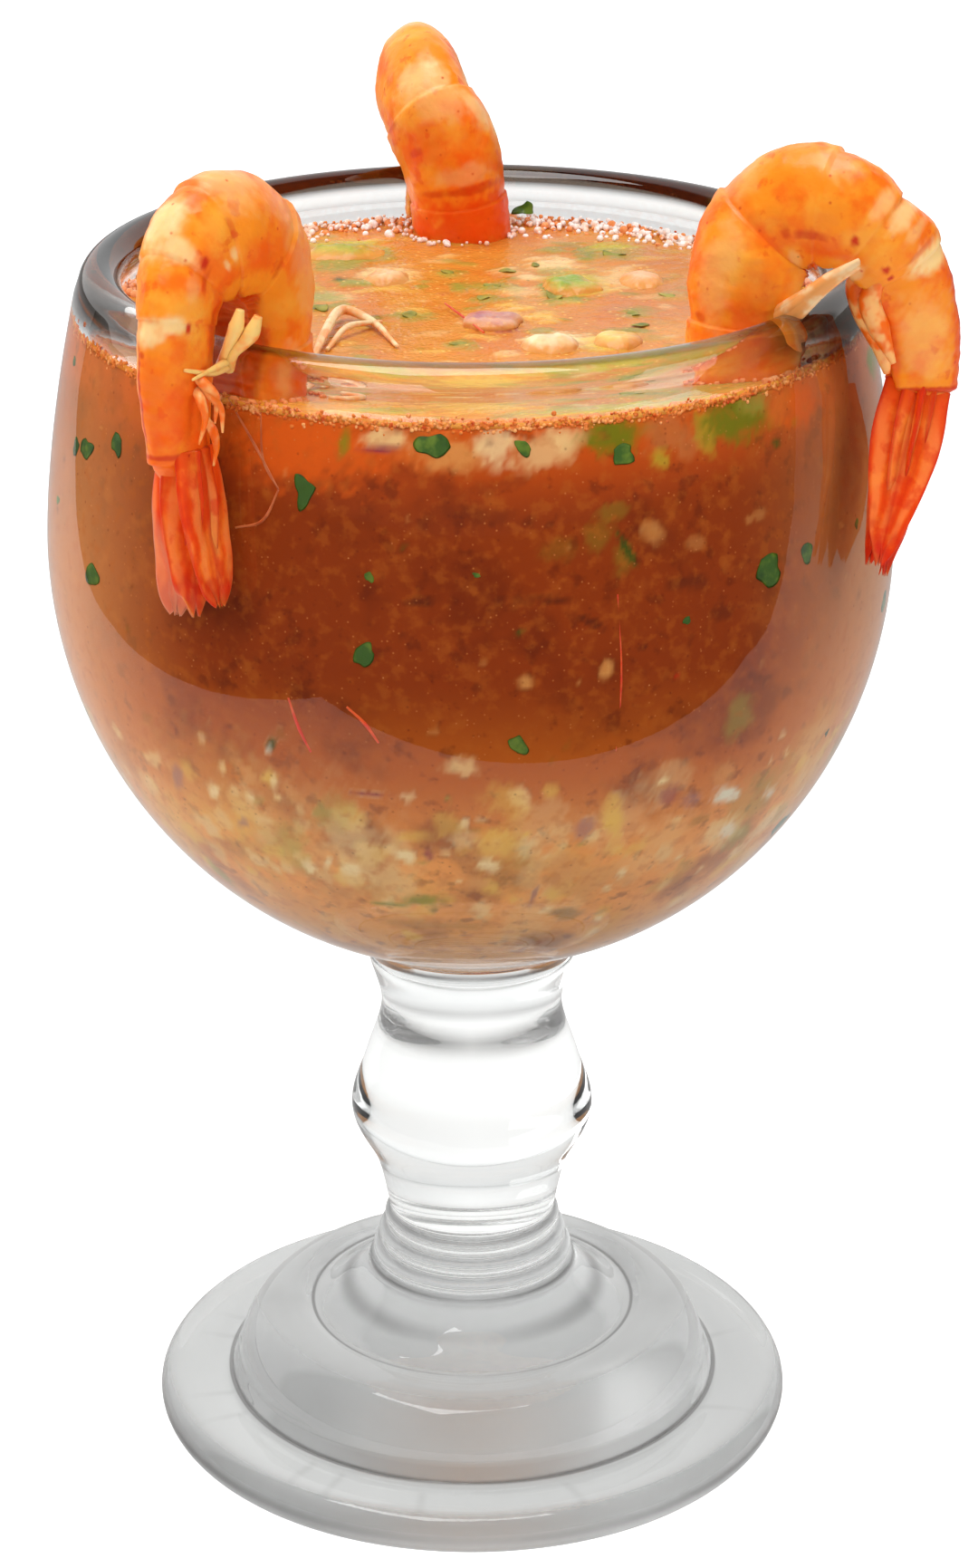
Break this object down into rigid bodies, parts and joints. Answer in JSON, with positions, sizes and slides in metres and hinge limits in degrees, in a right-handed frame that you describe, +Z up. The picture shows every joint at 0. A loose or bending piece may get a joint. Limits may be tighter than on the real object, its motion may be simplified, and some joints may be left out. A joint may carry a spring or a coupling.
{
  "type": "shrimp cocktail",
  "caption": "Cold shrimp cocktail in a footed glass goblet: tomato broth with chopped pieces afloat and cooked shrimp hooked over the rim.",
  "frame": {"origin": "middle of the footprint of the whole, on the surface that the goblet stands on", "axes": "+Z up along the goblet; +Y away from the viewer, with one shrimp at the far side; +X to the viewer's right"},
  "size_m": [0.1338, 0.1372, 0.2161],
  "materials": {
    "clear_glass": "thick clear pressed glass, polished",
    "tomato_broth": "cloudy orange-brown liquid, wet and glossy",
    "cooked_shrimp": "wet orange and cream flesh, slightly translucent",
    "avocado": "soft cut flesh, wet, yellow-green",
    "purple_onion": "crisp cut layer, wet, white to purple",
    "pale_pieces": "chopped pale flesh, wet"
  },
  "bodies": {
    "root": {"goblet": "clear_glass", "broth": "tomato_broth", "shrimp_left": "cooked_shrimp", "shrimp_back": "cooked_shrimp", "shrimp_right": "cooked_shrimp", "avocado_slice": "avocado", "avocado_cube": "avocado", "onion_square": "purple_onion", "pale_chunk": "pale_pieces", "yellow_chunk": "pale_pieces", "far_chunk": "pale_pieces", "side_chunk": "pale_pieces"}
  },
  "joints": []
}
